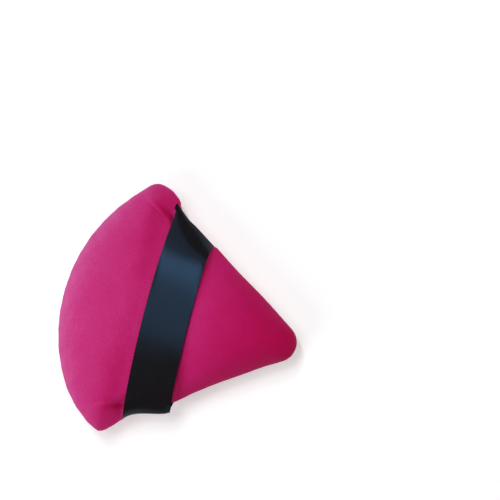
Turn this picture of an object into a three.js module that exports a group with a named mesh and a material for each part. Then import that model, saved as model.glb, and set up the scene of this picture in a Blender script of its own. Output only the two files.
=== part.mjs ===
// A triangular velour powder puff: two sewn covers over a foam core, with a satin finger ribbon across it.
// Millimetres, +Z up. The puff lies on its face: X runs along the ribbon, -Y points to the apex, and the
// origin is the middle of the footprint on the table.
import * as THREE from "three";

// Driving dimensions
const PUFF_WIDTH = 87.7; // corner to corner
const PUFF_LENGTH = 82.3; // apex to the middle of the arc
const ARC_RADIUS = 56.4; // the long rounded edge
const CORNER_RADIUS = 5.7; // the two lobes beside the arc
const APEX_RADIUS = 6.2;
const APEX_OFFSET = 2.5; // the hand-sewn apex lies this far to +X of the middle
const SIDE_DRAW_IN = 1.2; // how far the ribbon's seam pulls each straight side in
const SEAM_HEIGHT = 8; // table to the middle of the seam
const CROWN_HEIGHT = 9.5; // middle of the seam to the back cover under the ribbon
const CROWN_Y = 8; // middle of the crown
const CROWN_POWER = 3; // a higher power gives a flatter top and a tighter edge
const ARC_SWELL = 2.5; // how far the back cover swells up between the ribbon and the arc
const APEX_SWELL = 1.7; // and between the ribbon and the apex
const RIBBON_PRESS = 0.5; // share of the crown's height that the ribbon takes away at the sides
const PRESS_POWER = 5; // a higher power keeps the press closer to the sides
const PRESS_MARGIN = 1; // how far beyond its edges the ribbon holds the back cover fully down
const PRESS_REACH = 4; // and how fast the cover swells up from there
const REST_SHARE = 0.6; // share of the outline that lies flat on the table
const COVER_THICKNESS = 1.2; // velour with its pile
const SEAM_ALLOWANCE = 4; // width of the turned-in margins
const RIBBON_WIDTH = 15.6;
const RIBBON_THICKNESS = 0.4;
const RIBBON_Y = 2.1; // middle line of the ribbon
const LEFT_SLACK = 3.6; // how far the ribbon's apex edge stands off the left side
const RIGHT_SLACK = 0.4; // and the right side
const THREAD_DIAMETER = 0.4;
const STITCH_INSET = 2.2; // seam line of the machine stitches, from the edge
const CLOSING_START_SHARE = 0.25; // the gap that is closed by hand, along the left side from apex to ribbon
const CLOSING_END_SHARE = 0.9;
const LADDER_STITCHES = 9;
const LADDER_REACH = 0.6; // how far the closing stitches go to each side of the seam line
const CLEARANCE = 0.3; // between pieces that touch

// Facets
const APEX_STEPS = 6;
const SIDE_STEPS = 15;
const CORNER_STEPS = 6;
const ARC_STEPS = 14;
const DOME_RINGS = 8;
const INNER_RING_SHARE = 0.25; // first ring round the crown's middle, as a share of the outline
const RIBBON_STEPS = 26; // along the ribbon
const RIBBON_ROWS = 4; // across the ribbon
const THREAD_SIDES = 6;
const THREAD_STEPS = 72;
const SMALLEST_RADIUS = 0.4; // a rounded corner keeps this much when it is drawn inwards
const ROUNDING = 1e-9; // a ray through an outline's point still meets its lines

// Places that follow from the driving dimensions. Heights are measured from the middle of the seam.
const SEAM_GAP = RIBBON_THICKNESS + 2 * CLEARANCE; // between the two seam allowances, where the ribbon goes in
const CROWN = new THREE.Vector2(0, CROWN_Y);
const ARC_CENTRE = new THREE.Vector2(0, PUFF_LENGTH / 2 - ARC_RADIUS);
const APEX_CENTRE = new THREE.Vector2(APEX_OFFSET, APEX_RADIUS - PUFF_LENGTH / 2);
const CORNER_X = PUFF_WIDTH / 2 - CORNER_RADIUS;
const CORNER_Y = ARC_CENTRE.y + Math.sqrt((ARC_RADIUS - CORNER_RADIUS) ** 2 - CORNER_X ** 2);
const RIGHT_CORNER = new THREE.Vector2(CORNER_X, CORNER_Y);
const LEFT_CORNER = new THREE.Vector2(-CORNER_X, CORNER_Y);
const FACE_RISE = (SEAM_HEIGHT - SEAM_GAP / 2) / crownShare(REST_SHARE);

// Velour, satin, foam and thread
const velour = { color: 0xb81f63, roughness: 0.95, metalness: 0 };
const satin = { color: 0x14161b, roughness: 0.35, metalness: 0 };
const sponge = { color: 0xf1ead8, roughness: 1, metalness: 0 };
const polyester = { color: 0x9c1852, roughness: 0.8, metalness: 0 };

// Height of a crown, from 1 in the middle to 0 at the edge.
function crownShare(radial) {
  return Math.sqrt(1 - radial ** CROWN_POWER);
}

// Angle of a straight side's outward normal, from 0 to a full turn.
function sideAngle(corner) {
  const along = corner.clone().sub(APEX_CENTRE);
  const lean = Math.acos((APEX_RADIUS - CORNER_RADIUS) / along.length());
  return THREE.MathUtils.euclideanModulo(along.angle() - Math.sign(corner.x) * lean, 2 * Math.PI);
}

// A point of a circle that is drawn inwards by inset.
function circlePoint(centre, radius, inset, angle) {
  const drawn = Math.max(radius - inset, SMALLEST_RADIUS);
  return new THREE.Vector2(Math.cos(angle), Math.sin(angle)).multiplyScalar(drawn).add(centre);
}

// Points along a circle drawn inwards by inset, up to but not including the last angle.
function arcPoints(centre, radius, inset, from, to, steps) {
  return Array.from({ length: steps }, (_, i) =>
    circlePoint(centre, radius, inset, THREE.MathUtils.lerp(from, to, i / steps)),
  );
}

// A point of a straight side drawn inwards by inset, from the apex, share 0, to a corner, share 1. The side
// is pulled in where the ribbon is sewn into it.
function sidePoint(corner, inset, share) {
  const angle = sideAngle(corner);
  const start = circlePoint(APEX_CENTRE, APEX_RADIUS, inset, angle);
  const end = circlePoint(corner, CORNER_RADIUS, inset, angle);
  const ribbonShare = THREE.MathUtils.clamp((RIBBON_Y - start.y) / (end.y - start.y), 0.3, 0.9);
  const pull = SIDE_DRAW_IN * Math.sin(Math.PI * share ** (Math.log(0.5) / Math.log(ribbonShare))) ** 2;
  const inwards = new THREE.Vector2(-Math.cos(angle), -Math.sin(angle));
  return start.lerp(end, share).addScaledVector(inwards, pull);
}

// Points along a straight side, from the apex up to but not including the corner.
function sidePoints(corner, inset) {
  return Array.from({ length: SIDE_STEPS }, (_, i) => sidePoint(corner, inset, i / SIDE_STEPS));
}

// The plan outline drawn inwards by inset, anticlockwise from the left end of the apex.
function outline(inset) {
  const rightSide = sideAngle(RIGHT_CORNER) - 2 * Math.PI;
  const leftSide = sideAngle(LEFT_CORNER);
  const rightArc = RIGHT_CORNER.clone().sub(ARC_CENTRE).angle();
  const leftArc = LEFT_CORNER.clone().sub(ARC_CENTRE).angle();
  const leftPoints = [...sidePoints(LEFT_CORNER, inset).slice(1), sidePoint(LEFT_CORNER, inset, 1)];
  return [
    ...arcPoints(APEX_CENTRE, APEX_RADIUS, inset, leftSide - 2 * Math.PI, rightSide, APEX_STEPS),
    ...sidePoints(RIGHT_CORNER, inset),
    ...arcPoints(RIGHT_CORNER, CORNER_RADIUS, inset, rightSide, rightArc, CORNER_STEPS),
    ...arcPoints(ARC_CENTRE, ARC_RADIUS, inset, rightArc, leftArc, ARC_STEPS),
    ...arcPoints(LEFT_CORNER, CORNER_RADIUS, inset, leftArc, leftSide, CORNER_STEPS),
    ...leftPoints.reverse(),
  ];
}

// How far out a plan point lies between the crown's middle, 0, and an outline, 1.
function radialShare(point, edge) {
  const ray = point.clone().sub(CROWN);
  const shares = edge.map((a, i) => {
    const from = a.clone().sub(CROWN);
    const side = edge[(i + 1) % edge.length].clone().sub(a);
    const along = from.cross(ray) / ray.cross(side);
    const isHit = along > -ROUNDING && along < 1 + ROUNDING;
    return isHit ? ray.cross(side) / from.cross(side) : 0;
  });
  return THREE.MathUtils.clamp(Math.max(...shares), 0, 1);
}

// Where the line of one y leaves an outline, on the left, sign -1, or on the right, sign 1.
function edgeX(y, sign, edge) {
  const crossings = edge.flatMap((a, i) => {
    const b = edge[(i + 1) % edge.length];
    return (a.y <= y) === (b.y <= y) ? [] : [THREE.MathUtils.mapLinear(y, a.y, b.y, a.x, b.x) * sign];
  });
  return Math.max(...crossings) * sign;
}

// Shares of the outline at which a dome has its rings, closer together towards the edge.
function ringShares(first) {
  return Array.from({ length: DOME_RINGS }, (_, i) =>
    THREE.MathUtils.lerp(first, 1, Math.sin((i / (DOME_RINGS - 1)) * (Math.PI / 2))),
  );
}

// How firmly the ribbon holds the pad down, from 1 under the ribbon to 0 well beside it.
function hold(y) {
  const beside = Math.max(0, Math.abs(y - RIBBON_Y) - RIBBON_WIDTH / 2 - PRESS_MARGIN);
  return Math.exp(-((beside / PRESS_REACH) ** 2));
}

// Height of the crown where the ribbon takes some of it away, from 1 in the middle to 0 at the edge.
function pressedShare(radial, y) {
  return crownShare(radial) * (1 - hold(y) * RIBBON_PRESS * radial ** PRESS_POWER);
}

// How far the pad swells up beside the ribbon, from 0 at the crown's middle and edge.
function swell(radial, y) {
  return (1 - hold(y)) * (y > RIBBON_Y ? ARC_SWELL : APEX_SWELL) * Math.sin(Math.PI * radial);
}

// The surfaces of the back and face covers at a depth below the pile, as heights at their rings.
const backShares = ringShares(INNER_RING_SHARE);
const faceShares = ringShares(REST_SHARE);
function backHeight(radial, depth, y) {
  const dome = THREE.MathUtils.lerp(SEAM_GAP / 2 + depth, CROWN_HEIGHT - depth, pressedShare(radial, y));
  return dome + swell(radial, y);
}
function faceHeight(radial, depth) {
  const dome = FACE_RISE - 2 * depth;
  return Math.max(depth - SEAM_HEIGHT, -SEAM_GAP / 2 - depth - dome * crownShare(radial));
}

// The height of a plan point between the rings of a dome, where its faces run straight from ring to ring.
function facetHeight(at, radial, shares, height) {
  const stops = [0, ...shares];
  const next = Math.max(1, stops.findIndex((stop) => stop >= radial));
  const [inner, outer] = [stops[next - 1], stops[next]];
  const run = (at.y - CROWN.y) / (radial || 1);
  const ringHeight = (stop) => height(stop, CROWN.y + run * stop);
  return THREE.MathUtils.mapLinear(radial, inner, outer, ringHeight(inner), ringHeight(outer));
}

// A closed mesh with its faces turned outwards.
function outwardGeometry(points, faces) {
  let volume = 0;
  for (let i = 0; i < faces.length; i += 3) {
    const [a, b, c] = faces.slice(i, i + 3).map((index) => points[index]);
    volume += a.dot(new THREE.Vector3().crossVectors(b, c));
  }
  const geometry = new THREE.BufferGeometry().setFromPoints(points);
  geometry.setIndex(volume < 0 ? faces.toReversed() : faces);
  geometry.computeVertexNormals();
  return geometry;
}

// A solid through closed rings of equal length, with a fan to a point at each end.
function ringSolid(firstPole, rings, lastPole) {
  const count = rings[0].length;
  const points = [firstPole, ...rings.flat(), lastPole];
  const lastRing = 1 + (rings.length - 1) * count;
  const faces = [];
  for (let i = 0; i < count; i++) {
    const j = (i + 1) % count;
    faces.push(0, 1 + i, 1 + j);
    for (let a = 1; a < lastRing; a += count) {
      const b = a + count;
      faces.push(a + i, b + i, b + j, a + i, b + j, a + j);
    }
    faces.push(points.length - 1, lastRing + j, lastRing + i);
  }
  return outwardGeometry(points, faces);
}

// An outline shrunk about the crown's middle by share, lifted to the height of each of its points.
function domeRing(edge, share, height) {
  return edge.map((p) => {
    const at = CROWN.clone().lerp(p, share);
    return new THREE.Vector3(at.x, at.y, height(at));
  });
}

// An outline at one height.
function flatRing(edge, z) {
  return edge.map((p) => new THREE.Vector3(p.x, p.y, z));
}

// A cover: its dome, with the seam allowance turned in flat at the seam. Up is 1 for the back, -1 for the face.
function coverGeometry(shares, height, up) {
  const allowance = outline(SEAM_ALLOWANCE);
  const dome = (depth) => {
    const edge = outline(depth);
    return shares.map((share) => domeRing(edge, share, (at) => height(share, depth, at.y)));
  };
  const middle = (depth) => new THREE.Vector3(CROWN.x, CROWN.y, height(0, depth, CROWN.y));
  const rings = [
    ...dome(0),
    flatRing(allowance, (up * SEAM_GAP) / 2),
    flatRing(allowance, up * (SEAM_GAP / 2 + COVER_THICKNESS)),
    ...dome(COVER_THICKNESS).reverse(),
  ];
  return ringSolid(middle(0), rings, middle(COVER_THICKNESS));
}

// The foam core fills both covers and is grooved round the seam allowances.
function foamGeometry() {
  const lining = outline(COVER_THICKNESS + CLEARANCE);
  const rim = outline(STITCH_INSET + THREAD_DIAMETER / 2 + CLEARANCE);
  const groove = outline(SEAM_ALLOWANCE + CLEARANCE);
  const grooveTop = SEAM_GAP / 2 + COVER_THICKNESS + CLEARANCE;
  const under = (shares, height, gap) => (at) =>
    facetHeight(at, radialShare(at, lining), shares, (radial, y) => height(radial, COVER_THICKNESS, y)) + gap;
  const top = under(backShares, backHeight, -CLEARANCE);
  const bottom = under(faceShares, faceHeight, CLEARANCE);
  const middle = (height) => new THREE.Vector3(CROWN.x, CROWN.y, height(CROWN));
  const rings = [
    ...backShares.map((share) => domeRing(rim, share, top)),
    flatRing(rim, grooveTop),
    flatRing(groove, grooveTop),
    flatRing(groove, -grooveTop),
    flatRing(rim, -grooveTop),
    ...faceShares.toReversed().map((share) => domeRing(rim, share, bottom)),
  ];
  return ringSolid(middle(top), rings, middle(bottom));
}

// Y of a line along the ribbon, from its apex edge, row 0, to its arc edge, row 1.
function ribbonY(row) {
  return RIBBON_Y + (row - 0.5) * RIBBON_WIDTH;
}

// The outline that the ribbon follows. Its apex edge spans less pad than its arc edge, so its slack stands off.
// Along runs from -1 at the left end to 1 at the right end.
function ribbonOutline(row, along, lift) {
  const slack = THREE.MathUtils.mapLinear(along, -1, 1, LEFT_SLACK, RIGHT_SLACK);
  return outline(-CLEARANCE - slack * (1 - row) ** 2 - lift);
}

// The rows across the ribbon, each made by a function of its share of the width.
function ribbonRows(makeRow) {
  return Array.from({ length: RIBBON_ROWS + 1 }, (_, i) => makeRow(i / RIBBON_ROWS));
}

// One face of the ribbon's free span, which follows the back cover.
function spanFace(lift) {
  const low = RIBBON_THICKNESS / 2 + CLEARANCE;
  const high = CROWN_HEIGHT + CLEARANCE + lift;
  return ribbonRows((row) => {
    const y = ribbonY(row);
    const left = edgeX(y, -1, ribbonOutline(row, -1, lift));
    const right = edgeX(y, 1, ribbonOutline(row, 1, lift));
    return Array.from({ length: RIBBON_STEPS + 1 }, (_, i) => {
      const along = Math.sin((i / RIBBON_STEPS - 0.5) * Math.PI);
      const x = THREE.MathUtils.mapLinear(along, -1, 1, left, right);
      const radial = radialShare(new THREE.Vector2(x, y), ribbonOutline(row, along, lift));
      const arch = Math.abs(along) === 1 ? 0 : pressedShare(radial, y);
      return new THREE.Vector3(x, y, THREE.MathUtils.lerp(low, high, arch));
    });
  });
}

// One face of a ribbon end, which turns in under the free span, lies between the two seam allowances and is
// trimmed with them.
function tailFace(sign, z) {
  return ribbonRows((row) => {
    const y = ribbonY(row);
    const ends = [ribbonOutline(row, sign, RIBBON_THICKNESS), outline(SEAM_ALLOWANCE)];
    return ends.map((edge) => new THREE.Vector3(edgeX(y, sign, edge), y, z));
  });
}

// A sheet between two faces of equal rows, closed along its four edges.
function sheetGeometry(lower, upper) {
  const rows = lower.length;
  const columns = lower[0].length;
  const points = [...lower.flat(), ...upper.flat()];
  const at = (face, r, c) => (face * rows + r) * columns + c;
  const faces = [];
  const quad = (a, b, c, d) => faces.push(a, b, c, a, c, d);
  const last = { row: rows - 1, column: columns - 1 };
  for (let r = 0; r < last.row; r++) {
    for (let c = 0; c < last.column; c++) {
      quad(at(0, r, c), at(0, r + 1, c), at(0, r + 1, c + 1), at(0, r, c + 1));
      quad(at(1, r, c), at(1, r, c + 1), at(1, r + 1, c + 1), at(1, r + 1, c));
    }
    quad(at(0, r, 0), at(1, r, 0), at(1, r + 1, 0), at(0, r + 1, 0));
    quad(at(0, r + 1, last.column), at(1, r + 1, last.column), at(1, r, last.column), at(0, r, last.column));
  }
  for (let c = 0; c < last.column; c++) {
    quad(at(0, 0, c + 1), at(1, 0, c + 1), at(1, 0, c), at(0, 0, c));
    quad(at(0, last.row, c), at(1, last.row, c), at(1, last.row, c + 1), at(0, last.row, c + 1));
  }
  return outwardGeometry(points, faces);
}

// A thread along plan points in the plane of the seam.
function threadGeometry(points) {
  const curve = new THREE.CatmullRomCurve3(points.map((p) => new THREE.Vector3(p.x, p.y, 0)));
  const ring = new THREE.CircleGeometry(THREAD_DIAMETER / 2, THREAD_SIDES).getAttribute("position");
  const section = new THREE.Shape(
    Array.from({ length: THREAD_SIDES }, (_, i) => new THREE.Vector2(ring.getX(i + 1), ring.getY(i + 1))),
  );
  return new THREE.ExtrudeGeometry(section, { steps: THREAD_STEPS, extrudePath: curve });
}

// A share of the left side, for a share of its length between the apex and the ribbon.
function closingShare(share) {
  const apexY = sidePoint(LEFT_CORNER, STITCH_INSET, 0).y;
  const cornerY = sidePoint(LEFT_CORNER, STITCH_INSET, 1).y;
  return (share * (ribbonY(0) - apexY)) / (cornerY - apexY);
}

// The machine seam runs from one end of the hand-closed gap round the apex and the arc to its other end.
function machinePoints() {
  const edge = outline(STITCH_INSET);
  const start = closingShare(CLOSING_START_SHARE);
  const end = closingShare(CLOSING_END_SHARE);
  const sewn = edge.length - Math.ceil(end * SIDE_STEPS);
  return [
    sidePoint(LEFT_CORNER, STITCH_INSET, start),
    ...edge.slice(0, sewn),
    sidePoint(LEFT_CORNER, STITCH_INSET, end),
  ];
}

// The ladder stitches cross from one side of the seam line to the other along the gap.
function ladderPoints() {
  const turns = 2 * LADDER_STITCHES;
  return Array.from({ length: turns + 1 }, (_, i) => {
    const reach = i % 2 ? LADDER_REACH : -LADDER_REACH;
    const share = closingShare(THREE.MathUtils.lerp(CLOSING_START_SHARE, CLOSING_END_SHARE, i / turns));
    return sidePoint(LEFT_CORNER, STITCH_INSET + reach, share);
  });
}

function mesh(name, geometry, look, z = 0) {
  const made = new THREE.Mesh(geometry, new THREE.MeshStandardMaterial(look));
  made.name = name;
  made.position.z = z;
  return made;
}

const stitchHeight = SEAM_GAP / 2 + COVER_THICKNESS + CLEARANCE + THREAD_DIAMETER / 2;
const pad = new THREE.Group();
pad.add(
  mesh("back_cover", coverGeometry(backShares, backHeight, 1), velour),
  mesh("face_cover", coverGeometry(faceShares, faceHeight, -1), velour),
  mesh("foam_core", foamGeometry(), sponge),
  mesh("needle_thread", threadGeometry(machinePoints()), polyester, stitchHeight),
  mesh("bobbin_thread", threadGeometry(machinePoints()), polyester, -stitchHeight),
  mesh("closing_thread", threadGeometry(ladderPoints()), polyester),
);

const halfRibbon = RIBBON_THICKNESS / 2;
const strap = new THREE.Group();
strap.add(
  mesh("strap_span", sheetGeometry(spanFace(0), spanFace(RIBBON_THICKNESS)), satin),
  mesh("strap_tail_left", sheetGeometry(tailFace(-1, -halfRibbon), tailFace(-1, halfRibbon)), satin),
  mesh("strap_tail_right", sheetGeometry(tailFace(1, -halfRibbon), tailFace(1, halfRibbon)), satin),
);

const puff = new THREE.Group();
puff.position.z = SEAM_HEIGHT;
puff.add(pad, strap);

export default puff;
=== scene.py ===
import math
from collections import namedtuple

import bmesh
import bpy
import numpy as np
from mathutils import Matrix, Vector
from mathutils.bvhtree import BVHTree


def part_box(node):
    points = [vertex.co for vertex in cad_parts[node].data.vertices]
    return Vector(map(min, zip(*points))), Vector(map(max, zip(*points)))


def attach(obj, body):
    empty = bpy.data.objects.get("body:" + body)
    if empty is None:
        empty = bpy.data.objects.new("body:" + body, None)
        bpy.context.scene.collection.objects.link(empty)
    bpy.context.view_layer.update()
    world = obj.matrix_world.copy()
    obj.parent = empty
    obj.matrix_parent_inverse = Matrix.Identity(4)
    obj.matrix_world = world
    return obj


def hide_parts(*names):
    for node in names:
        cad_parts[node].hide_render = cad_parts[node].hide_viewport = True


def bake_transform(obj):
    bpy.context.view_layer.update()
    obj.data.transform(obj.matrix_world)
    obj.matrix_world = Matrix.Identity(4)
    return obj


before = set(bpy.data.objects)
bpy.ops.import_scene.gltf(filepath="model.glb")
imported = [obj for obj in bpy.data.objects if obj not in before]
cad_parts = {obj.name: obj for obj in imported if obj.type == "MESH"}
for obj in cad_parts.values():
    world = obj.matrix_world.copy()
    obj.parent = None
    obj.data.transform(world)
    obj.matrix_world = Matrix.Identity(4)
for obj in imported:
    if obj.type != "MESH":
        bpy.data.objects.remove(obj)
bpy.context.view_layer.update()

MM = 0.001
scene = bpy.context.scene
scene.view_settings.view_transform = "Standard"

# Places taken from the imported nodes
SEAM_Z = (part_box("back_cover")[0].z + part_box("face_cover")[1].z) / 2
RIBBON_LOW_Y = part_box("strap_span")[0].y
RIBBON_HIGH_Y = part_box("strap_span")[1].y
RIBBON_MID_Y = (RIBBON_LOW_Y + RIBBON_HIGH_Y) / 2
RIBBON_WIDTH = RIBBON_HIGH_Y - RIBBON_LOW_Y
SEAM_LIFT = 0.12 * MM  # half of the open seam at the edge of the covers

# Camera, nearly overhead: the picture's upright is turned from +X towards +Y
CAMERA_TURN = math.radians(15.6)
# It stands this far to the right of the middle, and below it, for each metre of height
CAMERA_LEAN_RIGHT = 0.0776
CAMERA_LEAN_DOWN = 0.1
CAMERA_DISTANCE = 0.5
AIM_RIGHT = 24.48 * MM  # middle of the picture, seen from the puff
AIM_UP = 24.28 * MM
FRAME_WIDTH = 171.17 * MM
SENSOR = 36.0  # in mm
NEAREST_SEEN = 10 * MM


def make_camera():
    data = bpy.data.cameras.new("studio_camera")
    camera = bpy.data.objects.new("studio_camera", data)
    scene.collection.objects.link(camera)
    up = Vector((math.cos(CAMERA_TURN), math.sin(CAMERA_TURN), 0))
    right = Vector((up.y, -up.x, 0))
    back = (Vector((0, 0, 1)) + CAMERA_LEAN_RIGHT * right - CAMERA_LEAN_DOWN * up).normalized()
    side = up.cross(back).normalized()
    camera.location = AIM_RIGHT * right + AIM_UP * up + Vector((0, 0, SEAM_Z)) + back * CAMERA_DISTANCE
    camera.rotation_euler = Matrix((side, back.cross(side), back)).transposed().to_euler()
    data.sensor_width = SENSOR
    data.lens = SENSOR * CAMERA_DISTANCE / FRAME_WIDTH
    data.clip_start = NEAREST_SEEN
    scene.camera = camera


make_camera()


def deselect_all():
    if bpy.context.mode != "OBJECT":
        bpy.ops.object.mode_set(mode="OBJECT")
    bpy.ops.object.select_all(action="DESELECT")


def activate(piece):
    deselect_all()
    piece.select_set(True)
    bpy.context.view_layer.objects.active = piece


def new_piece(name, mesh):
    piece = bpy.data.objects.new(name, mesh)
    scene.collection.objects.link(piece)
    return piece


def apply_modifier(piece, kind, **settings):
    activate(piece)
    modifier = piece.modifiers.new(kind.lower(), kind)
    for key, value in settings.items():
        setattr(modifier, key, value)
    bpy.ops.object.modifier_apply(modifier=modifier.name)


def coordinates(mesh):
    flat = np.empty(len(mesh.vertices) * 3)
    mesh.vertices.foreach_get("co", flat)
    return flat.reshape(-1, 3)


def set_coordinates(mesh, points):
    mesh.vertices.foreach_set("co", points.ravel())
    mesh.update()


def normals(mesh):
    flat = np.empty(len(mesh.vertices) * 3)
    mesh.vertex_normals.foreach_get("vector", flat)
    return flat.reshape(-1, 3)


def smoothstep(value, low, high):
    share = np.clip((value - low) / (high - low), 0, 1)
    return share * share * (3 - 2 * share)


# The pad's two covers, sewn together at the seam
SAME_POINT = 0.001 * MM  # points that lie this close are one
PAD_VOXEL = 0.85 * MM  # the even mesh for the simulation


def outer_skin(cover, up):
    """The outside of a packed cover, without its lining and seam allowance."""
    skin = bmesh.new()
    skin.from_mesh(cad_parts[cover].data)
    bmesh.ops.remove_doubles(skin, verts=skin.verts, dist=SAME_POINT)
    skin.faces.ensure_lookup_table()
    tree = BVHTree.FromBMesh(skin)
    hidden = []
    for face in skin.faces:
        centre = face.calc_center_median()
        start = Vector((centre.x, centre.y, up))
        hit = tree.ray_cast(start, Vector((0, 0, -up)))
        if hit[2] != face.index:
            hidden.append(face)
    bmesh.ops.delete(skin, geom=hidden, context="FACES")
    mesh = bpy.data.meshes.new(cover + "_skin")
    skin.to_mesh(mesh)
    skin.free()
    return new_piece(cover + "_skin", mesh)


def pad_form():
    """Both skins joined along the seam, with an even mesh for the simulation."""
    back = outer_skin("back_cover", 1)
    face = outer_skin("face_cover", -1)
    activate(back)
    face.select_set(True)
    bpy.ops.object.join()
    bpy.ops.object.mode_set(mode="EDIT")
    bpy.ops.mesh.select_all(action="DESELECT")
    bpy.ops.mesh.select_mode(type="EDGE")
    bpy.ops.mesh.select_non_manifold()
    bpy.ops.mesh.bridge_edge_loops()
    bpy.ops.mesh.select_all(action="SELECT")
    bpy.ops.mesh.normals_make_consistent(inside=False)
    bpy.ops.object.mode_set(mode="OBJECT")
    back.name = "pad_form"
    apply_modifier(back, "REMESH", mode="VOXEL", voxel_size=PAD_VOXEL)
    return back


# The ribbon's line over the pad, which also sets the bed that it presses into the pad
RIBBON_SKEW = 0.0215  # the ribbon was sewn on a little turned
RIBBON_BOW = 0.87 * MM  # and bows to the arc between its ends
RIBBON_HALF_SPAN = 33 * MM
FOLD_Z = SEAM_Z + 2.2 * MM  # height at which its ends fold down to the seam
BED_APEX_Z = SEAM_Z + 9.9 * MM  # top of the bed under the ribbon's apex edge, and under its arc edge
BED_ARC_Z = SEAM_Z + 9.5 * MM
LEFT_CURVE = 0.0029 / MM  # how it curves down from its top to the left, and to the right
RIGHT_CURVE = 0.0025 / MM
BEND_X = 20.8 * MM  # where the ribbon bends down to its right end
BEND_SLOPE = 0.18
BEND_WIDTH_APEX = 1.2 * MM  # the bend is tighter at the ribbon's apex edge than at its arc edge
BEND_WIDTH_ARC = 2.6 * MM
LEFT_POWER_APEX = 6  # how late it drops to the seam at its two ends: a higher power is later
LEFT_POWER_ARC = 18
RIGHT_POWER_APEX = 2.4  # on the right the drop starts at the bend
RIGHT_POWER_ARC = 11

# Where its ends fold, in mm from the middle: at its apex edge, and how much further out at its arc edge.
# The corners stray from that line, and a higher sharpness keeps that closer to the ribbon's edges.
LEFT_FOLD = 31.15
LEFT_FOLD_SPREAD = 3.6
LEFT_ARC_CORNER = 2.0
LEFT_ARC_SHARPNESS = 7
LEFT_APEX_CORNER = 0.5
LEFT_APEX_SHARPNESS = 16
RIGHT_FOLD = 27.9
RIGHT_FOLD_SPREAD = 9.6
RIGHT_ARC_CORNER = 2.0
RIGHT_ARC_SHARPNESS = 10
RIGHT_TUCK = 0.6
RIGHT_TUCK_SHARPNESS = 40
RIGHT_DIP = 0.35  # the right fold dips in a little: how far, where across the ribbon, and over what reach
RIGHT_DIP_ROW = 0.69
RIGHT_DIP_REACH = 0.1


def ribbon_middle(x):
    """Line that the middle of the ribbon follows over the pad, seen from above."""
    bow = 1 - np.minimum(np.abs(x) / RIBBON_HALF_SPAN, 1) ** 2
    return RIBBON_MID_Y + RIBBON_SKEW * x + RIBBON_BOW * bow


def ribbon_share(points):
    """Where points lie across the ribbon, from 0 at its apex edge to 1 at its arc edge."""
    return (points[:, 1] - ribbon_middle(points[:, 0])) / RIBBON_WIDTH + 0.5


def fold_places(row):
    """Where a row of the ribbon, from 0 at its apex edge to 1 at its arc edge, folds at its two ends."""
    arc_corner = LEFT_ARC_CORNER * row**LEFT_ARC_SHARPNESS
    apex_corner = LEFT_APEX_CORNER * (1 - row) ** LEFT_APEX_SHARPNESS
    left = -(LEFT_FOLD + LEFT_FOLD_SPREAD * row + arc_corner - apex_corner) * MM
    arc_corner = RIGHT_ARC_CORNER * row**RIGHT_ARC_SHARPNESS
    tuck = RIGHT_TUCK * row**RIGHT_TUCK_SHARPNESS
    dip = RIGHT_DIP * np.exp(-(((row - RIGHT_DIP_ROW) / RIGHT_DIP_REACH) ** 2))
    right = (RIGHT_FOLD + RIGHT_FOLD_SPREAD * row + arc_corner + tuck - dip) * MM
    return left, right


def ribbon_sink(row, x):
    """How far the ribbon sinks from its top on its way to the sides, before it drops to the seam."""
    width = BEND_WIDTH_APEX + (BEND_WIDTH_ARC - BEND_WIDTH_APEX) * row
    bend = BEND_SLOPE * width * np.log1p(np.exp((x - BEND_X) / width))
    return bend + LEFT_CURVE * np.minimum(x, 0) ** 2 + RIGHT_CURVE * np.maximum(x, 0) ** 2


def ribbon_bed(row, x):
    """Height of the pad under a place along and across the ribbon."""
    left, right = fold_places(row)
    x = np.clip(x, left, right)
    end = np.where(x < 0, left, right)
    left_power = LEFT_POWER_APEX + (LEFT_POWER_ARC - LEFT_POWER_APEX) * row**2
    right_power = RIGHT_POWER_APEX + (RIGHT_POWER_ARC - RIGHT_POWER_APEX) * row**3
    left_share = (np.minimum(x, 0) / left) ** left_power
    right_share = (np.maximum(x - BEND_X, 0) / (right - BEND_X)) ** right_power
    top = BED_APEX_Z + (BED_ARC_Z - BED_APEX_Z) * row
    drop = top - FOLD_Z - ribbon_sink(row, end)
    return top - ribbon_sink(row, x) - drop * (left_share + right_share)


# Creases from the ribbon's arc edge across the neck of each corner lobe
Crease = namedtuple("Crease", "start end lobe_side depth")
CREASES = (
    Crease(Vector((32.4, 10.3)) * MM, Vector((38.3, 20.2)) * MM, 1, 0.75 * MM),
    Crease(Vector((-32.7, 10.8)) * MM, Vector((-35.2, 17.6)) * MM, -1, 0.65 * MM),
)
CREASE_PAD_REACH = 1.9 * MM  # the steep side towards the middle of the pad
CREASE_LOBE_REACH = 2.8 * MM  # the gentle rise towards the lobe
CREASE_START_RUN = 1.5 * MM  # how it fades in under the ribbon
CREASE_LINE = 0.5  # its sharp line, as a share of its depth
CREASE_LINE_PAD_REACH = 1.3 * MM
CREASE_LINE_LOBE_REACH = 1.4 * MM
ABOVE_SEAM = 0.5 * MM  # what lies higher above the seam than this is the back of the pad

# What the seam, the table, the ribbon and the creases hold while the pad is filled
SEAM_HOLD = 0.75 * MM
TABLE_HOLD = 0.02 * MM
RIBBON_HOLD = 0.03  # beyond the ribbon's edges, as a share of its width
CREASE_HOLD = 0.8 * MM
CREASE_HELD_SHARE = 0.9
BED_START = 22 * MM  # the pad fills the ribbon's bed this far from the middle
BED_END = 30 * MM  # and from here on it only stays under it

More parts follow.
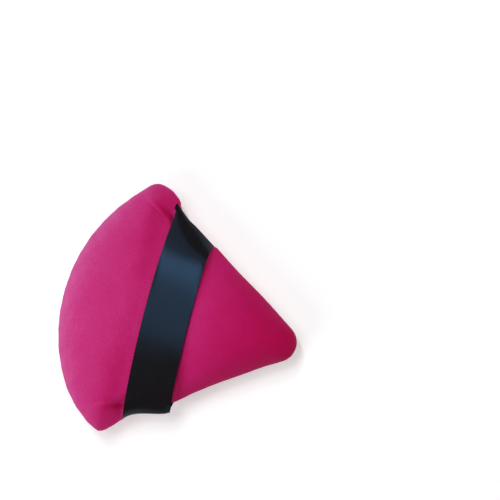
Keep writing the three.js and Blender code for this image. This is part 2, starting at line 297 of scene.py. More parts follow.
# The velour beside the ribbon and at its ends
VELOUR_RISE = 0.15  # slope of the velour at the ribbon's edge, how it steepens, and how free the lobes stand
VELOUR_STEEPENING = 0.06 / MM
LOBE_RISE = 30
LOBE_RISE_RUN = 2 * MM  # on either side of the creases
LEVEL_EDGE = 0.3 * MM  # it lies level this far beside the ribbon
BED_FLOOR = 0.4 * MM  # and stays this far above the seam
BED_ROUNDING = 0.12 * MM  # rounding of the velour at the ribbon's edge, and how it grows away from there
BED_ROUNDING_GROWTH = 0.12
END_ROOM = 0.35 * MM  # from the ribbon's ends to the velour that they are sewn to
APEX_OPENING = 0.8  # how fast the pad widens again beside the ribbon's ends
LOBE_OPENING = 3
END_DROP = 0.7 * MM  # how far the velour drops away under the ribbon's folds, and over what run
END_DROP_RUN = 3.5 * MM
APEX_HOLLOW = 1.0 * MM  # the pad sinks below the ribbon's slack apex edge
APEX_HOLLOW_X = -20 * MM
APEX_HOLLOW_REACH = 12 * MM
NECK_X = 25 * MM  # the velour is evened out in the necks beside the ribbon's ends
NECK_REACH = 2.2 * MM
NECK_HEIGHT = 1.6 * MM
NECK_EVENING = 8
LOBE_SWELLS = (  # the right lobe bulges over the ribbon's corner: place, reach, height and direction
    ((42.3 * MM, 12.8 * MM), 2.4 * MM, 0.75 * MM, (0.75, -0.66)),
    ((40.1 * MM, 10.9 * MM), 1.9 * MM, 1.0 * MM, (0.3, -0.95)),
)
SWELL_START = 0.3 * MM  # heights above the seam where the bulge sets in and is full
SWELL_FULL = 1.5 * MM

# Where the hand-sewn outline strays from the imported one: place, reach and shift in mm
OUTLINE_PULLS = (
    ((-40, 22), 7, (0.5, -0.8)),
    ((-42.5, 20.5), 4.5, (0.5, -0.3)),
    ((43, 19), 6, (0.35, 0)),
    ((22, -14), 10, (-0.55, 0.3)),
    ((-3.4, -38), 5, (-0.4, -0.55)),
    ((-18, -20), 8, (0.3, 0.2)),
    ((35, 4), 5, (-0.6, 0.4)),
    ((-26.6, -7.2), 4, (-0.8, -0.3)),
    ((-43.3, 18.8), 2.5, (0.45, -0.3)),
    ((-43.7, 15.9), 2.5, (-0.3, 0)),
    ((-38.6, 10.2), 2.5, (0.4, 0)),
    ((43.9, 17), 3, (-0.25, 0)),
)


def crease_place(points, crease):
    """Where points lie across a crease, counted towards its lobe, and along it, and the crease's length."""
    along = np.array(crease.end - crease.start)
    length = np.linalg.norm(along)
    along /= length
    rel = points[:, :2] - np.array(crease.start)
    across = (rel @ np.array([along[1], -along[0]])) * crease.lobe_side
    return across, rel @ along, length


def crease_depth(points, crease, deep, pad_reach, lobe_reach):
    """How far a crease pulls points in, deepest at the ribbon and gone at its far end."""
    across, run, length = crease_place(points, crease)
    reach = np.where(across > 0, lobe_reach, pad_reach)
    fade = 1 - smoothstep(run, 0, length)
    behind = np.exp(-((np.minimum(run, 0) / CREASE_START_RUN) ** 2))
    above = points[:, 2] > SEAM_Z + ABOVE_SEAM
    return above * deep * fade * behind * np.exp(-((across / reach) ** 2))


def hold_and_press(points, out):
    """Which points the seam, the ribbon, the creases and the table hold, and where they hold them."""
    above = points[:, 2] > SEAM_Z + ABOVE_SEAM
    row = ribbon_share(points)
    under_ribbon = above & (row > -RIBBON_HOLD) & (row < 1 + RIBBON_HOLD)
    pressed = points.copy()
    bed = ribbon_bed(np.clip(row, 0, 1), points[:, 0])
    filled = 1 - smoothstep(np.abs(points[:, 0]), BED_START, BED_END)
    held_z = filled * bed + (1 - filled) * np.minimum(points[:, 2], bed)
    pressed[under_ribbon, 2] = held_z[under_ribbon]
    held = under_ribbon | (np.abs(points[:, 2] - SEAM_Z) < SEAM_HOLD) | (points[:, 2] < TABLE_HOLD)
    for crease in CREASES:
        across, run, length = crease_place(points, crease)
        share = run / length
        held |= above & (np.abs(across) < CREASE_HOLD) & (share > 0) & (share < CREASE_HELD_SHARE)
        pull = crease_depth(points, crease, crease.depth, CREASE_PAD_REACH, CREASE_LOBE_REACH)
        pressed -= out * pull[:, None]
    return held, pressed


def stay_under_ribbon(points):
    """Keeps the velour in its bed under the ribbon, and lets it rise softly beside it."""
    x = points[:, 0]
    row = ribbon_share(points)
    held_row = np.clip(row, 0, 1)
    left, right = fold_places(held_row)
    drop = END_DROP * (1 - smoothstep(np.minimum(x - left, right - x), 0, END_DROP_RUN)) * (row < 1)
    hollow = APEX_HOLLOW * np.exp(-(((x - APEX_HOLLOW_X) / APEX_HOLLOW_REACH) ** 2)) * (1 - held_row) ** 2
    beside = np.maximum(np.maximum(-row, row - 1) * RIBBON_WIDTH - LEVEL_EDGE, 0)
    slope = np.full(len(points), VELOUR_RISE)
    for crease in CREASES:
        across = crease_place(points, crease)[0]
        slope += LOBE_RISE * smoothstep(across, -LOBE_RISE_RUN, LOBE_RISE_RUN) ** 2 * (row > 1)
    rise = beside * (slope + VELOUR_STEEPENING * beside)
    over = (points[:, 2] - ribbon_bed(held_row, x) + drop + hollow - rise) / 2
    points[:, 2] -= over + np.sqrt(over**2 + (BED_ROUNDING + BED_ROUNDING_GROWTH * beside) ** 2)


def swell_lobe(points):
    """The right lobe bulges over the sewn-in corner of the ribbon, above the seam."""
    above = smoothstep(points[:, 2], SEAM_Z + SWELL_START, SEAM_Z + SWELL_FULL)
    for place, reach, height, out in LOBE_SWELLS:
        rel = points[:, :2] - np.array(place)
        share = np.exp(-((rel**2).sum(axis=1) / reach**2)) * above
        points[:, :2] += np.array(out) * (height * share)[:, None]


def draw_in_ends(points):
    """Keeps the pad's sides inside the sewn-in ends of the ribbon."""
    row = ribbon_share(points)
    left, right = fold_places(np.clip(row, 0, 1))
    room = END_ROOM - np.maximum(-row * APEX_OPENING, (row - 1) * LOBE_OPENING).clip(0) * RIBBON_WIDTH
    points[:, 0] = np.clip(points[:, 0], left + room, right - room)


def pull_outline(points):
    """Shifts the pad where its sewn outline isn't true."""
    for place, reach, shift in OUTLINE_PULLS:
        rel = points[:, :2] / MM - np.array(place)
        share = np.exp(-((rel**2).sum(axis=1) / reach**2))
        points[:, :2] += np.array(shift) * MM * share[:, None]


SIM_SCALE = 20  # the simulation runs on a larger copy, where its steps are steadier
SIM_FRAMES = 24
CLOTH_LIMIT = 2.5 * MM  # the velour gives no more than this
NO_LENGTH = 1e-9
NO_LEVEL = 1e-6


def inflate(pad):
    """Fills the pad, with its velour held where it is sewn, pressed and creased."""
    held, start_points = hold_and_press(coordinates(pad.data), normals(pad.data))
    set_coordinates(pad.data, start_points * SIM_SCALE)
    group = pad.vertex_groups.new(name="sewn")
    group.add(np.nonzero(held)[0].tolist(), 1.0, "REPLACE")
    activate(pad)
    cloth = pad.modifiers.new("velour_cloth", "CLOTH")
    settings = cloth.settings
    settings.quality = 8
    settings.mass = 0.3
    settings.tension_stiffness = 15
    settings.compression_stiffness = 15
    settings.shear_stiffness = 5
    settings.bending_stiffness = 2
    settings.air_damping = 2
    settings.vertex_group_mass = "sewn"
    settings.pin_stiffness = 1
    settings.shrink_min = -0.004
    settings.use_pressure = True
    settings.uniform_pressure_force = 1.2
    settings.effector_weights.gravity = 0
    cloth.collision_settings.use_collision = False
    cloth.collision_settings.use_self_collision = False
    cloth.point_cache.frame_start = 1
    cloth.point_cache.frame_end = SIM_FRAMES
    for step in range(1, SIM_FRAMES + 1):
        scene.frame_set(step)
    bpy.ops.object.modifier_apply(modifier=cloth.name)
    scene.frame_set(1)
    moved = coordinates(pad.data) / SIM_SCALE
    shift = moved - start_points
    length = np.linalg.norm(shift, axis=1)
    shift *= (np.minimum(length, CLOTH_LIMIT) / np.maximum(length, NO_LENGTH))[:, None]
    points = start_points + shift
    points[:, 2] = np.maximum(points[:, 2], 0)
    set_coordinates(pad.data, points)
    pad.vertex_groups.clear()


def even_out_necks(pad, points):
    """Smooths the velour at the seam, close beside the ribbon's ends."""
    row = ribbon_share(points)
    beside_end = np.minimum(np.abs(row), np.abs(row - 1)) * RIBBON_WIDTH < NECK_REACH
    at_seam = np.abs(points[:, 2] - SEAM_Z) < NECK_HEIGHT
    in_neck = beside_end & at_seam & (np.abs(points[:, 0]) > NECK_X)
    group = pad.vertex_groups.new(name="necks")
    group.add(np.nonzero(in_neck)[0].tolist(), 1.0, "REPLACE")
    apply_modifier(pad, "SMOOTH", factor=0.5, iterations=NECK_EVENING, vertex_group="necks")
    pad.vertex_groups.clear()


def finish_pad(pad):
    """Evens out the simulated mesh, fits it to the sewn outline and the ribbon, and sharpens the creases."""
    apply_modifier(pad, "SMOOTH", factor=0.5, iterations=6)
    apply_modifier(pad, "SUBSURF", levels=1, render_levels=1)
    points = coordinates(pad.data)
    low, high = points.min(axis=0), points.max(axis=0)
    covers = [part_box("back_cover"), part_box("face_cover")]
    for axis in (0, 1):
        want_low = min(box[0][axis] for box in covers)
        want_high = max(box[1][axis] for box in covers)
        share = (points[:, axis] - low[axis]) / (high[axis] - low[axis])
        points[:, axis] = want_low + share * (want_high - want_low)
    pull_outline(points)
    draw_in_ends(points)
    above = points[:, 2] > SEAM_Z + BED_FLOOR
    bedded = points[above]
    stay_under_ribbon(bedded)
    bedded[:, 2] = np.maximum(bedded[:, 2], SEAM_Z + BED_FLOOR)
    points[above] = bedded
    swell_lobe(points)
    set_coordinates(pad.data, points)
    out = normals(pad.data)
    for crease in CREASES:
        deep = CREASE_LINE * crease.depth
        line = crease_depth(points, crease, deep, CREASE_LINE_PAD_REACH, CREASE_LINE_LOBE_REACH)
        points -= out * line[:, None]
    set_coordinates(pad.data, points)
    even_out_necks(pad, points)


pad = pad_form()
inflate(pad)
finish_pad(pad)


SEAM_ROLL = 0.6 * MM  # how far the velour rolls in to the seam, and over what height
SEAM_ROLL_HEIGHT = 1.4 * MM
RIM_EVENING = 40
# Steps of the turned-in seam allowance: the width of each, and its height from the seam
SEAM_ALLOWANCE = ((1.2 * MM, 0.14 * MM), (2.6 * MM, 0.45 * MM))
VELOUR_THICKNESS = 0.8 * MM
SLIVER = 0.08 * MM  # shorter edges are closed up where the pad is cut at the seam


def even_out_rim(cover, inward):
    """Evens the directions in which a cover's rim turns in, so that its allowance lies flat at corners."""
    rim = [vert for vert in cover.verts if vert.is_boundary]
    beside = {}
    for vert in rim:
        beside[vert] = [edge.other_vert(vert) for edge in vert.link_edges if edge.is_boundary]
    for _ in range(RIM_EVENING):
        evened = {}
        for vert in rim:
            evened[vert] = 2 * inward[vert] + sum((inward[other] for other in beside[vert]), Vector())
        for vert in rim:
            inward[vert] = evened[vert].normalized()


def sewn_cover(name, up):
    """One half of the pad, rolled in at the seam, with its seam allowance and the thickness of the velour."""
    cover = bmesh.new()
    cover.from_mesh(pad.data)
    cut = Vector((0, 0, SEAM_Z + up * SEAM_LIFT))
    bmesh.ops.bisect_plane(
        cover,
        geom=cover.verts[:] + cover.edges[:] + cover.faces[:],
        dist=SAME_POINT,
        plane_co=cut,
        plane_no=Vector((0, 0, up)),
        clear_inner=True,
    )
    bmesh.ops.remove_doubles(cover, verts=cover.verts, dist=SLIVER)
    cover.normal_update()
    inward = {}
    for vert in cover.verts:
        flat = Vector((vert.normal.x, vert.normal.y, 0))
        inward[vert] = -flat.normalized() if flat.length > NO_LEVEL else Vector()
    for vert in cover.verts:
        share = 1 - abs(vert.co.z - cut.z) / SEAM_ROLL_HEIGHT
        if share > 0:
            vert.co += inward[vert] * SEAM_ROLL * share * share
    even_out_rim(cover, inward)
    for depth, lift in SEAM_ALLOWANCE:
        rim = [edge for edge in cover.edges if edge.is_boundary]
        made = bmesh.ops.extrude_edge_only(cover, edges=rim)["geom"]
        for vert in [item for item in made if isinstance(item, bmesh.types.BMVert)]:
            source = next(e.other_vert(vert) for e in vert.link_edges if e.other_vert(vert) in inward)
            inward[vert] = inward[source]
            vert.co = source.co + inward[source] * depth
            vert.co.z = SEAM_Z + up * lift
    bmesh.ops.recalc_face_normals(cover, faces=cover.faces)
    mesh = bpy.data.meshes.new(name)
    cover.to_mesh(mesh)
    cover.free()
    piece = new_piece(name, mesh)
    apply_modifier(piece, "SOLIDIFY", thickness=VELOUR_THICKNESS, offset=-1)
    activate(piece)
    bpy.ops.object.shade_smooth()
    return piece


# The foam core
FOAM_GAP = 1.3 * MM  # from the outside of the velour to the sponge
FOAM_GROOVE = 4.2 * MM  # room for the seam allowances
FOAM_GROOVE_HEIGHT = 2.2 * MM  # from the seam, up and down
FOAM_GROOVE_SLOPE = 0.7  # share of that height in which its walls slope
FOAM_VOXEL = 1.2 * MM


def make_foam():
    """The sponge follows the inside of the covers and is grooved all round for the seam allowances."""
    foam = new_piece("foam_sponge", pad.data.copy())
    apply_modifier(foam, "REMESH", mode="VOXEL", voxel_size=FOAM_VOXEL)
    apply_modifier(foam, "SMOOTH", factor=0.5, iterations=2)
    points = coordinates(foam.data)
    out = normals(foam.data)
    points -= out * FOAM_GAP
    level = out[:, :2] / np.maximum(np.linalg.norm(out[:, :2], axis=1), NO_LEVEL)[:, None]
    share = np.clip(1 - np.abs(points[:, 2] - SEAM_Z) / FOAM_GROOVE_HEIGHT, 0, 1)
    groove = (FOAM_GROOVE - FOAM_GAP) * smoothstep(share, 0, FOAM_GROOVE_SLOPE)
    points[:, :2] -= level * groove[:, None]
    set_coordinates(foam.data, points)
    activate(foam)
    bpy.ops.object.shade_smooth()
    return foam


foam = make_foam()
back_velour = sewn_cover("back_velour", 1)
face_velour = sewn_cover("face_velour", -1)
bpy.data.objects.remove(pad)


# The satin ribbon
RIBBON_THICKNESS = 0.22 * MM
RIBBON_GAP = 0.25 * MM  # from the velour to the middle of the satin
APEX_EDGE_LIFT = 0.6 * MM  # how far its slack apex edge stands above the pad, where, and over what reach
APEX_EDGE_LIFT_X = -10 * MM
APEX_EDGE_REACH = 22 * MM
APEX_EDGE_END = 6 * MM  # it comes down over this run at either end
EDGE_CURL = 0.06 * MM  # its two edges curl down over this width
EDGE_CURL_WIDTH = 1.2 * MM
TUCK_FLARE = 1.5 * MM  # its right arc corner flares into the tuck under the lobe
TUCK_X = 36.2 * MM
TUCK_RUN = 1.6 * MM
TUCK_SHARPNESS = 8
CORNER_DRAW_IN = 0.65 * MM  # its left apex corner is drawn in
CORNER_X = -26.5 * MM
CORNER_RUN = 3 * MM
CORNER_SHARPNESS = 3
TAIL_REACH = 4 * MM  # how far its ends reach into the seam
FOLD_RADIUS = 0.25 * MM
OUTSIDE = 100 * MM  # well outside the pad
SEAM_PROBE = 0.3 * MM  # the seam's edge is looked up this far above its middle
RIBBON_ROWS = 30
TAIL_COLUMNS = 30
SPAN_COLUMNS = 380
SPAN_FINENESS = 4  # its line is laid out this many times finer first
BEND_SMOOTHING = 8  # how often its bends, its folds and its rows are evened out
FOLD_SMOOTHING = 3
ROW_SMOOTHING = 6
SHARP_ANGLE = math.radians(50)
PICOT_PITCH = 1.2 * MM
PICOT_DEPTH = 0.1 * MM


def resample(path, count):
    """Count points, evenly spaced along a path of x and z."""
    path = np.array(path)
    along = np.concatenate([[0], np.cumsum(np.linalg.norm(np.diff(path, axis=0), axis=1))])
    wanted = np.linspace(0, along[-1], count)
    return np.stack([np.interp(wanted, along, path[:, 0]), np.interp(wanted, along, path[:, 1])], axis=1)


def even_out(points, times):
    """Evens out a row of points and leaves its first and last in place."""
    for _ in range(times):
        points[1:-1] = points[1:-1] / 2 + (points[:-2] + points[2:]) / 4


def ribbon_y(row, x):
    return ribbon_middle(x) + (row - 0.5) * RIBBON_WIDTH


def ribbon_span(row):
    """The free span along one line of the ribbon, as x and z, from fold to fold."""
    left, right = fold_places(row)
    x = np.linspace(left, right, SPAN_COLUMNS * SPAN_FINENESS)
    lift = APEX_EDGE_LIFT * np.exp(-(((x - APEX_EDGE_LIFT_X) / APEX_EDGE_REACH) ** 2)) * (1 - row) ** 2
    clear = smoothstep(np.minimum(x - left, right - x), 0, APEX_EDGE_END)
    z = ribbon_bed(row, x) + RIBBON_GAP + clear * lift
    span = resample(np.stack([x, z], axis=1), SPAN_COLUMNS)
    even_out(span, BEND_SMOOTHING)
    return span


def ribbon_tail(row, fold, sign, tree):
    """One end of a line of the ribbon, from the fold into the seam."""
    y = ribbon_y(row, fold[0])
    outside = Vector((sign * OUTSIDE, y, SEAM_Z + SEAM_PROBE))
    seam = tree.ray_cast(outside, Vector((-sign, 0, 0)))[0].x
    seam = sign * min(seam * sign, fold[0] * sign - 2 * FOLD_RADIUS)
    path = [
        fold,
        (fold[0], SEAM_Z + FOLD_RADIUS),
        (fold[0] - sign * FOLD_RADIUS, SEAM_Z),
        (seam, SEAM_Z),
        (seam - sign * TAIL_REACH, SEAM_Z),
    ]
    return resample(path, TAIL_COLUMNS)


def make_ribbon():
    """The ribbon from tail to tail, and the length of its path."""
    tree = BVHTree.FromPolygons(
        [v.co for v in back_velour.data.vertices], [p.vertices for p in back_velour.data.polygons]
    )
    grid = []
    for index in range(RIBBON_ROWS + 1):
        row = index / RIBBON_ROWS
        span = ribbon_span(row)
        left = ribbon_tail(row, tuple(span[0]), -1, tree)[::-1]
        right = ribbon_tail(row, tuple(span[-1]), 1, tree)
        line = np.concatenate([left, span[1:-1], right])
        even_out(line, FOLD_SMOOTHING)
        grid.append([(x, ribbon_y(row, x), z) for x, z in line])
    grid = np.array(grid)
    rows_up = np.linspace(0, 1, RIBBON_ROWS + 1)[:, None]
    flare = TUCK_FLARE * smoothstep(grid[:, :, 0], TUCK_X, TUCK_X + TUCK_RUN)
    grid[:, :, 1] += flare * rows_up**TUCK_SHARPNESS
    draw_in = CORNER_DRAW_IN * smoothstep(-grid[:, :, 0], -CORNER_X, CORNER_RUN - CORNER_X)
    grid[:, :, 1] += draw_in * (1 - rows_up) ** CORNER_SHARPNESS
    even_out(grid, ROW_SMOOTHING)
    across = np.linspace(0, RIBBON_WIDTH, RIBBON_ROWS + 1)
    curl = np.clip(1 - np.minimum(across, RIBBON_WIDTH - across) / EDGE_CURL_WIDTH, 0, 1) ** 2
    span_columns = slice(TAIL_COLUMNS, -TAIL_COLUMNS)
    grid[:, span_columns, 2] -= EDGE_CURL * curl[:, None]
    steps = np.linalg.norm(np.diff(grid, axis=1), axis=2)
    along = np.concatenate([np.zeros((len(grid), 1)), np.cumsum(steps, axis=1)], axis=1)
    picots = PICOT_DEPTH / 2 * np.cos(2 * math.pi * along / PICOT_PITCH)
    grid[0, :, 1] -= picots[0]
    grid[-1, :, 1] += picots[-1]
    rows, columns = along.shape
    mesh = bpy.data.meshes.new("satin_ribbon")
    faces = []
    for r in range(rows - 1):
        for c in range(columns - 1):
            a = r * columns + c
            faces.append((a, a + 1, a + columns + 1, a + columns))
    mesh.from_pydata(grid.reshape(-1, 3).tolist(), [], faces)
    weave = mesh.uv_layers.new(name="weave")
    flat = np.stack([along, np.repeat(across[:, None], columns, axis=1)], axis=2).reshape(-1, 2)
    loops = np.array([loop.vertex_index for loop in mesh.loops])
    weave.data.foreach_set("uv", flat[loops].ravel())
    ribbon = new_piece("satin_ribbon", mesh)
    apply_modifier(ribbon, "SOLIDIFY", thickness=RIBBON_THICKNESS, offset=0)
    activate(ribbon)
    bpy.ops.object.shade_smooth_by_angle(angle=SHARP_ANGLE)
    return ribbon, float(along[:, -1].mean())


ribbon, ribbon_length = make_ribbon()


# Materials
def new_material(name):
    made = bpy.data.materials.new(name)
    made.use_nodes = True
    tree = made.node_tree
    return made, tree, tree.nodes["Principled BSDF"]


def node(tree, kind, **values):
    made = tree.nodes.new(kind)
    for key, value in values.items():
        if key in made.inputs:
            made.inputs[key].default_value = value
        else:
            setattr(made, key, value)
    return made


def noise(tree, vector, scale, detail=2.0, roughness=0.5):
    made = node(tree, "ShaderNodeTexNoise", Scale=scale, Detail=detail, Roughness=roughness)
    tree.links.new(vector, made.inputs["Vector"])
    return made.outputs["Fac"]


def ramp(tree, factor, low, high, low_at=0.3, high_at=0.7):
    made = tree.nodes.new("ShaderNodeValToRGB")
    made.color_ramp.elements[0].position = low_at
    made.color_ramp.elements[1].position = high_at
    made.color_ramp.elements[0].color = (*low, 1)
    made.color_ramp.elements[1].color = (*high, 1)
    tree.links.new(factor, made.inputs["Fac"])
    return made.outputs["Color"]


def add_scaled(tree, value, scale, base):
    """base + value * scale."""
    made = node(tree, "ShaderNodeMath", operation="MULTIPLY_ADD")
    made.inputs[1].default_value = scale
    tree.links.new(value, made.inputs[0])
    tree.links.new(base, made.inputs[2])
    return made.outputs[0]


def bump(tree, height, distance, strength):
    made = node(tree, "ShaderNodeBump", Distance=distance, Strength=strength)
    tree.links.new(height, made.inputs["Height"])
    return made.outputs["Normal"]


DYE = (0.573, 0.0158, 0.152)  # the velour's own colour, midway between its painted shade and painted light
# How many times deeper the dye is made for the darkest painted shade, and how shallow for the palest painted
# light
PAINTED_SHADE_DEPTH = 1.5
PAINTED_LIGHT_DEPTH = 0.5
SHADING_STOPS = 5
PAINTED_LIGHT_BY_LEAN = 0.28  # painted light: how much paler the velour is where the surface leans towards the arc side
PAINTED_GRADIENT_TURN_Y = -5 * MM  # painted light gradient, darker towards the apex: from here it changes fast towards the apex, slowly towards the arc
PAINTED_GRADIENT_APEX = 0.0105 / MM
PAINTED_GRADIENT_ARC = 0.003 / MM
PAINTED_SHADING_AT_TURN = 0.52
PAINTED_LIGHT_PATCH = 0.08  # painted light: a paler patch in the middle, beside the ribbon's arc edge
LIGHT_PATCH_Y = 17 * MM
LIGHT_PATCH_REACH_X = 15 * MM
LIGHT_PATCH_REACH_Y = 8 * MM
CREASE_PAINTED_SHADE = 0.15  # painted shade beside the creases, and a darker painted shade line in them
CREASE_PAINTED_LINE = 0.35
SHADE_LINE_PAD_REACH = 0.5 * MM
SHADE_LINE_LOBE_REACH = 1.0 * MM
RIM_PAINTED_HIGHLIGHT = 0.45  # painted highlight on the lobes' rims along the ribbon, and painted sheen where the arc side turns down to the table
RIM_REACH = 0.9 * MM
RIM_X = 32.8 * MM  # from here outwards
RIM_END_X = 35.3 * MM  # on the right lobe it ends here
RIM_FADE = 1.5 * MM
RIM_SEAM_FADE = 1 * MM
TURN_PAINTED_SHEEN = 0.32
TURN_Y = 15 * MM
HANDLING = 0.2  # how strongly handling clouds the pile, and the fibres speckle it
SPECKLE = 0.3


def set_painted_shading(cover):
    """Stores painted light and shade: paler towards the arc and on the lit rims, darker towards the apex and
    in the creases.
    """
    points = coordinates(cover.data)
    run = points[:, 1] - PAINTED_GRADIENT_TURN_Y
    # Painted light: paler where the surface leans towards the arc side
    painted_shading = PAINTED_SHADING_AT_TURN + PAINTED_LIGHT_BY_LEAN * normals(cover.data)[:, 1]
    # Painted light gradient: darker towards the apex, paler towards the arc
    painted_shading += PAINTED_GRADIENT_APEX * np.minimum(run, 0) + PAINTED_GRADIENT_ARC * np.maximum(run, 0)
    # Painted light: a paler patch beside the ribbon's arc edge
    light_patch = (points[:, 0] / LIGHT_PATCH_REACH_X) ** 2 + ((points[:, 1] - LIGHT_PATCH_Y) / LIGHT_PATCH_REACH_Y) ** 2
    painted_shading += PAINTED_LIGHT_PATCH * np.exp(-light_patch)
    # Painted shade along the creases, with a darker painted line in them
    for crease in CREASES:
        painted_shading -= crease_depth(points, crease, CREASE_PAINTED_SHADE, CREASE_PAD_REACH, CREASE_LOBE_REACH)
        painted_shading -= crease_depth(points, crease, CREASE_PAINTED_LINE, SHADE_LINE_PAD_REACH, SHADE_LINE_LOBE_REACH)
    # Painted highlight on the lobes' rims beside the ribbon
    beside = (ribbon_share(points) - 1) * RIBBON_WIDTH
    on_lobe = smoothstep(np.abs(points[:, 0]), RIM_X, RIM_X + RIM_FADE) * (beside > -RIM_REACH)
    on_lobe *= 1 - smoothstep(points[:, 0], RIM_END_X, RIM_END_X + RIM_FADE)
    on_lobe *= smoothstep(points[:, 2], SEAM_Z, SEAM_Z + RIM_SEAM_FADE)
    painted_shading += RIM_PAINTED_HIGHLIGHT * on_lobe * np.exp(-((beside / RIM_REACH) ** 2))
    # Painted sheen where the arc side turns down to the table
    turned = (1 - np.abs(normals(cover.data)[:, 2])) ** 2
    painted_shading += TURN_PAINTED_SHEEN * turned * smoothstep(points[:, 1], 0, TURN_Y)
    cover.data.attributes.new("painted_shading", "FLOAT", "POINT").data.foreach_set("value", painted_shading)


def painted_shading_colours(tree, factor):
    """The dye from its deepest, for painted shade, to its palest, for painted light and sheen."""
    made = tree.nodes.new("ShaderNodeValToRGB")
    while len(made.color_ramp.elements) < SHADING_STOPS:
        made.color_ramp.elements.new(0.5)
    for index, stop in enumerate(made.color_ramp.elements):
        share = index / (SHADING_STOPS - 1)
        depth = PAINTED_SHADE_DEPTH + (PAINTED_LIGHT_DEPTH - PAINTED_SHADE_DEPTH) * share
        stop.position = share
        stop.color = (*(channel**depth for channel in DYE), 1)
    tree.links.new(factor, made.inputs["Fac"])
    return made.outputs["Color"]


def velour_material():
    """Short pile: painted light and shade set how deep the dye looks, clouded by handling and speckled by the
    fibres.
    """
    made, tree, shader = new_material("magenta_velour")
    place = tree.nodes.new("ShaderNodeTexCoord").outputs["Object"]
    # Painted light and shade, read from the covers' stored attribute
    painted_shading = node(tree, "ShaderNodeAttribute", attribute_name="painted_shading").outputs["Fac"]
    handling = noise(tree, place, scale=120, detail=5.0, roughness=0.75)
    pile = noise(tree, place, scale=1700, detail=3.0, roughness=0.7)
    clouded = add_scaled(tree, handling, HANDLING, painted_shading)
    speckled = add_scaled(tree, pile, SPECKLE, clouded)
    centred = node(tree, "ShaderNodeMath", operation="SUBTRACT")
    centred.inputs[1].default_value = (HANDLING + SPECKLE) / 2
    tree.links.new(speckled, centred.inputs[0])
    tree.links.new(painted_shading_colours(tree, centred.outputs[0]), shader.inputs["Base Color"])
    tree.links.new(bump(tree, pile, distance=0.12 * MM, strength=0.3), shader.inputs["Normal"])
    shader.inputs["Roughness"].default_value = 0.95
    shader.inputs["Specular IOR Level"].default_value = 0.02
    shader.inputs["Sheen Weight"].default_value = 0.25
    shader.inputs["Sheen Roughness"].default_value = 0.5
    shader.inputs["Sheen Tint"].default_value = (1.0, 0.34, 0.7, 1)
    return made


def satin_material():
    """Black satin, with its warp along the ribbon and a cool gloss."""
    made, tree, shader = new_material("black_satin")
    weave = node(tree, "ShaderNodeUVMap", uv_map="weave").outputs["UV"]
    warp = node(tree, "ShaderNodeTexWave", wave_type="BANDS", bands_direction="Y", Scale=1100, Distortion=0.4)
    tree.links.new(weave, warp.inputs["Vector"])
    stretch = node(tree, "ShaderNodeMapping")
    stretch.inputs["Scale"].default_value = (150, 2600, 1)
    tree.links.new(weave, stretch.inputs["Vector"])
    streaks = noise(tree, stretch.outputs["Vector"], scale=1)
    base = ramp(tree, streaks, (0.0098, 0.0086, 0.0095), (0.0128, 0.0113, 0.0124))
    tree.links.new(base, shader.inputs["Base Color"])
    rough = ramp(tree, streaks, (0.19, 0.19, 0.19), (0.22, 0.22, 0.22))
    tree.links.new(rough, shader.inputs["Roughness"])
    ridges = bump(tree, warp.outputs["Fac"], distance=0.03 * MM, strength=0.12)
    tree.links.new(ridges, shader.inputs["Normal"])
    shader.inputs["Specular IOR Level"].default_value = 0.12
    shader.inputs["Specular Tint"].default_value = (0.2, 0.53, 1.0, 1)
    return made


def foam_material():
    made, tree, shader = new_material("cream_sponge")
    place = tree.nodes.new("ShaderNodeTexCoord").outputs["Object"]
    cells = node(tree, "ShaderNodeTexVoronoi", Scale=1400)
    tree.links.new(place, cells.inputs["Vector"])
    # Painted shade: the sponge is darker in its pores, where the bump sinks
    deep, pale = (0.55, 0.5, 0.4), (0.88, 0.83, 0.71)
    base = ramp(tree, cells.outputs["Distance"], deep, pale, low_at=0.05, high_at=0.35)
    tree.links.new(base, shader.inputs["Base Color"])
    pores = bump(tree, cells.outputs["Distance"], distance=0.3 * MM, strength=0.6)
    tree.links.new(pores, shader.inputs["Normal"])
    shader.inputs["Roughness"].default_value = 0.95
    return made


def thread_material():
    made, tree, shader = new_material("magenta_thread")
    place = tree.nodes.new("ShaderNodeTexCoord").outputs["Object"]
    twist = node(tree, "ShaderNodeTexWave", bands_direction="DIAGONAL", Scale=700, Distortion=1.0)
    tree.links.new(place, twist.inputs["Vector"])
    # Painted shade: darker in the grooves between the plies, where the bump sinks
    base = ramp(tree, twist.outputs["Fac"], (0.2, 0.004, 0.05), (0.38, 0.012, 0.1))
    tree.links.new(base, shader.inputs["Base Color"])
    plies = bump(tree, twist.outputs["Fac"], distance=0.08 * MM, strength=0.5)
    tree.links.new(plies, shader.inputs["Normal"])
    shader.inputs["Roughness"].default_value = 0.7
    return made


def dress(piece, finish):
    piece.data.materials.clear()
    piece.data.materials.append(finish)


set_painted_shading(back_velour)
set_painted_shading(face_velour)
velour = velour_material()
satin = satin_material()
dress(back_velour, velour)
dress(face_velour, velour)
dress(ribbon, satin)
dress(foam, foam_material())
thread = thread_material()
for name in ("needle_thread", "bobbin_thread", "closing_thread"):
    dress(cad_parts[name], thread)

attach(back_velour, "pad")
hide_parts("back_cover")
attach(face_velour, "pad")
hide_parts("face_cover")
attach(foam, "pad")
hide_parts("foam_core")
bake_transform(ribbon)
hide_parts("strap_span", "strap_tail_left", "strap_tail_right")


# Stage
WALLS = 0.1  # the studio's grey walls, and its dark ceiling
CEILING = 0.03
WALL_TOP = math.sin(math.radians(5))
CEILING_EDGE = math.sin(math.radians(30))
FLOOR_GLOW = 0.38  # lifts the floor to white where it is seen or mirrored, and lights nothing
FLOOR_SIZE = 8
LIGHT_TARGET = (0, 0, 0.01)


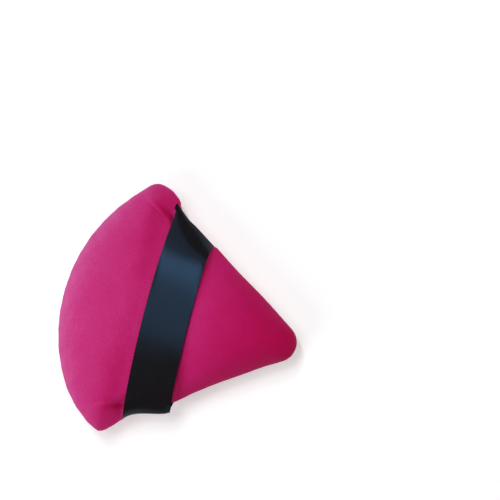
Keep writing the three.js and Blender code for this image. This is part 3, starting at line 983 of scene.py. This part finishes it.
def make_floor():
    bpy.ops.mesh.primitive_plane_add(size=FLOOR_SIZE)
    floor = bpy.context.object
    floor.name = "studio_floor"
    made, tree, shader = new_material("pale_floor")
    shader.inputs["Base Color"].default_value = (0.82, 0.82, 0.82, 1)
    shader.inputs["Roughness"].default_value = 1
    shader.inputs["Specular IOR Level"].default_value = 0
    shader.inputs["Emission Color"].default_value = (1, 1, 1, 1)
    path = tree.nodes.new("ShaderNodeLightPath")
    seen = node(tree, "ShaderNodeMath", operation="MAXIMUM")
    tree.links.new(path.outputs["Is Camera Ray"], seen.inputs[0])
    tree.links.new(path.outputs["Is Glossy Ray"], seen.inputs[1])
    through = node(tree, "ShaderNodeMath", operation="MAXIMUM")
    tree.links.new(seen.outputs[0], through.inputs[0])
    tree.links.new(path.outputs["Is Transmission Ray"], through.inputs[1])
    glow = node(tree, "ShaderNodeMath", operation="MULTIPLY")
    glow.inputs[1].default_value = FLOOR_GLOW
    tree.links.new(through.outputs[0], glow.inputs[0])
    tree.links.new(glow.outputs[0], shader.inputs["Emission Strength"])
    dress(floor, made)


def make_world():
    world = bpy.data.worlds.new("studio")
    scene.world = world
    world.use_nodes = True
    tree = world.node_tree
    height = node(tree, "ShaderNodeSeparateXYZ")
    tree.links.new(tree.nodes.new("ShaderNodeTexCoord").outputs["Generated"], height.inputs[0])
    wall, ceiling = (WALLS,) * 3, (CEILING,) * 3
    walls = ramp(tree, height.outputs["Z"], wall, ceiling, low_at=WALL_TOP, high_at=CEILING_EDGE)
    tree.links.new(walls, tree.nodes["Background"].inputs["Color"])


def area_light(name, place, size, energy, mirrored=True):
    data = bpy.data.lights.new(name, "AREA")
    data.shape = "RECTANGLE"
    data.size, data.size_y = size
    data.energy = energy
    lamp = bpy.data.objects.new(name, data)
    scene.collection.objects.link(lamp)
    lamp.location = place
    lamp.rotation_euler = (Vector(LIGHT_TARGET) - Vector(place)).to_track_quat("-Z", "Y").to_euler()
    lamp.visible_glossy = mirrored


make_floor()
make_world()
area_light("softbox", place=(0.26, 0.196, 0.731), size=(0.05, 0.36), energy=1.95)
area_light("scrim", place=(0.016, 0.254, 0.759), size=(0.2, 0.36), energy=1.15)
area_light("edge_light", place=(0.504, 0.161, 0.6), size=(0.3, 0.36), energy=0.75)
# The low lights aren't mirrored in the satin
area_light("window", place=(-0.28, 0.21, 0.24), size=(0.25, 0.25), energy=0.62, mirrored=False)
area_light("apex_fill", place=(0, -0.45, 0.15), size=(0.5, 0.2), energy=0.8, mirrored=False)
area_light("side_fill", place=(0.45, -0.05, 0.15), size=(0.3, 0.2), energy=0.1, mirrored=False)
